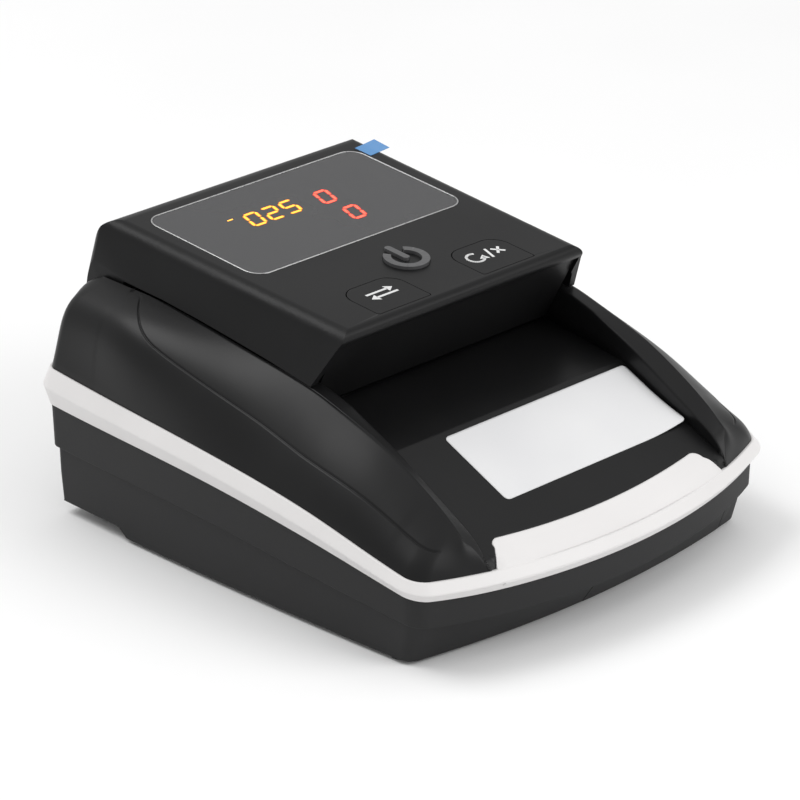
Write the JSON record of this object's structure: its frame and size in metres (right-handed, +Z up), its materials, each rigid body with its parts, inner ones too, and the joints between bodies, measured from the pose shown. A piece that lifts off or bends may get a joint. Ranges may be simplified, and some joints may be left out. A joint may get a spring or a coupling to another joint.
{
  "type": "banknote counting machine",
  "caption": "Desktop banknote counting and detecting machine with a feed tray, hinged display head, push buttons and roller drive.",
  "frame": {"origin": "on the support plane under the middle of the machine's outline", "axes": "+X to the user's right, -Y towards the user and the feed tray, +Z up"},
  "size_m": [0.1298, 0.1486, 0.0761],
  "materials": {
    "shell_black": "satin black moulded plastic",
    "case_grey": "matt dark grey moulded plastic",
    "trim_white": "white moulded plastic, soft gloss",
    "rubber_black": "matt rubber",
    "roller_rubber": "ground rubber",
    "steel": "bright steel",
    "plate_steel": "zinc-plated steel sheet",
    "bronze": "sintered bronze",
    "acetal": "white acetal",
    "window": "smoked glossy acrylic",
    "film": "clear protective film",
    "board": "green solder resist",
    "component": "moulded component bodies",
    "connector": "black connector body",
    "display_module": "black segment display modules",
    "lens": "clear lens",
    "magnet_head": "satin metal case",
    "battery": "blue shrink sleeve",
    "wire": "insulated wire",
    "label": "smooth white label paper"
  },
  "bodies": {
    "base": {"lower_case": "case_grey", "belt_trim": "trim_white", "upper_case": "shell_black", "tray_label": "label", "case_screws": "steel", "rubber_feet": "rubber_black", "battery_pack": "battery", "battery_wires": "wire", "main_board": "board", "main_board_parts": "component", "buzzer": "component", "port_board": "board", "board_screws": "steel", "dc_jack": "connector", "usb_port": "steel", "side_plate_left": "plate_steel", "side_plate_right": "plate_steel", "side_plate_screws": "steel", "shaft_bushes": "bronze", "idler_pin": "steel", "motor": "steel", "motor_screws": "steel", "motor_wires": "wire", "guide_plate": "shell_black", "lower_sensor_board": "board", "lower_sensor_windows": "lens", "hinge_pins": "steel"},
    "battery_door": {"battery_door": "case_grey"},
    "front_drive": {"front_drive_shaft": "steel", "front_drive_rollers": "roller_rubber", "front_shaft_gear": "acetal", "front_shaft_clips": "steel"},
    "rear_drive": {"rear_drive_shaft": "steel", "rear_drive_rollers": "roller_rubber", "rear_shaft_gear": "acetal", "rear_shaft_clips": "steel"},
    "idler": {"idler_gear": "acetal"},
    "rotor": {"motor_shaft": "steel", "motor_pinion": "bronze"},
    "head": {"head_top_cover": "shell_black", "head_lower_cover": "shell_black", "head_screws": "steel", "display_window": "window", "display_film": "film", "digit_modules": "display_module", "control_board": "board", "control_board_screws": "steel", "key_switches": "connector", "upper_sensor_board": "board", "upper_sensor_windows": "lens", "sensor_screws": "steel", "magnetic_head": "magnet_head", "pressure_springs": "steel"},
    "power_key": {"power_button": "rubber_black"},
    "left_key": {"left_key": "shell_black"},
    "right_key": {"right_key": "shell_black"},
    "front_pressure": {"front_pressure_axle": "steel", "front_pressure_rollers": "roller_rubber"},
    "rear_pressure": {"rear_pressure_axle": "steel", "rear_pressure_rollers": "roller_rubber"}
  },
  "joints": [
    {"name": "head_hinge", "type": "hinge", "parent": "base", "child": "head", "pos_m": [0, 0.064, 0.055], "axis": [-1, 0, 0], "range_deg": [0, 50]},
    {"name": "power_press", "type": "slide", "parent": "head", "child": "power_key", "axis": [0, 0.0872, -0.9962], "range_m": [0, 0.0006], "stiffness_N_per_m": 500, "springref_m": -0.0006},
    {"name": "left_key_press", "type": "slide", "parent": "head", "child": "left_key", "axis": [0, 0.0872, -0.9962], "range_m": [0, 0.0006], "stiffness_N_per_m": 500, "springref_m": -0.0006},
    {"name": "right_key_press", "type": "slide", "parent": "head", "child": "right_key", "axis": [0, 0.0872, -0.9962], "range_m": [0, 0.0006], "stiffness_N_per_m": 500, "springref_m": -0.0006},
    {"name": "battery_door_slide", "type": "slide", "parent": "base", "child": "battery_door", "axis": [0, -1, 0], "range_m": [0, 0.012]},
    {"name": "front_drive_turn", "type": "hinge", "parent": "base", "child": "front_drive", "pos_m": [0, 0.01385, 0.03745], "axis": [1, 0, 0], "continuous": true},
    {"name": "rear_drive_turn", "type": "hinge", "parent": "base", "child": "rear_drive", "pos_m": [0, 0.05214, 0.03745], "axis": [1, 0, 0], "continuous": true},
    {"name": "idler_turn", "type": "hinge", "parent": "base", "child": "idler", "pos_m": [0, 0.033, 0.0307], "axis": [1, 0, 0], "continuous": true},
    {"name": "motor_turn", "type": "hinge", "parent": "base", "child": "rotor", "pos_m": [0, 0.033, 0.0146], "axis": [1, 0, 0], "continuous": true},
    {"name": "front_pressure_turn", "type": "hinge", "parent": "head", "child": "front_pressure", "pos_m": [0, 0.01385, 0.0505], "axis": [1, 0, 0], "continuous": true},
    {"name": "rear_pressure_turn", "type": "hinge", "parent": "head", "child": "rear_pressure", "pos_m": [0, 0.05214, 0.0505], "axis": [1, 0, 0], "continuous": true}
  ],
  "couplings": [
    {"joint": "rear_drive_turn", "follows": "front_drive_turn", "ratio": 1},
    {"joint": "idler_turn", "follows": "front_drive_turn", "ratio": -0.70588},
    {"joint": "motor_turn", "follows": "front_drive_turn", "ratio": 2},
    {"joint": "front_pressure_turn", "follows": "front_drive_turn", "ratio": -1.6},
    {"joint": "rear_pressure_turn", "follows": "front_drive_turn", "ratio": -1.6}
  ]
}
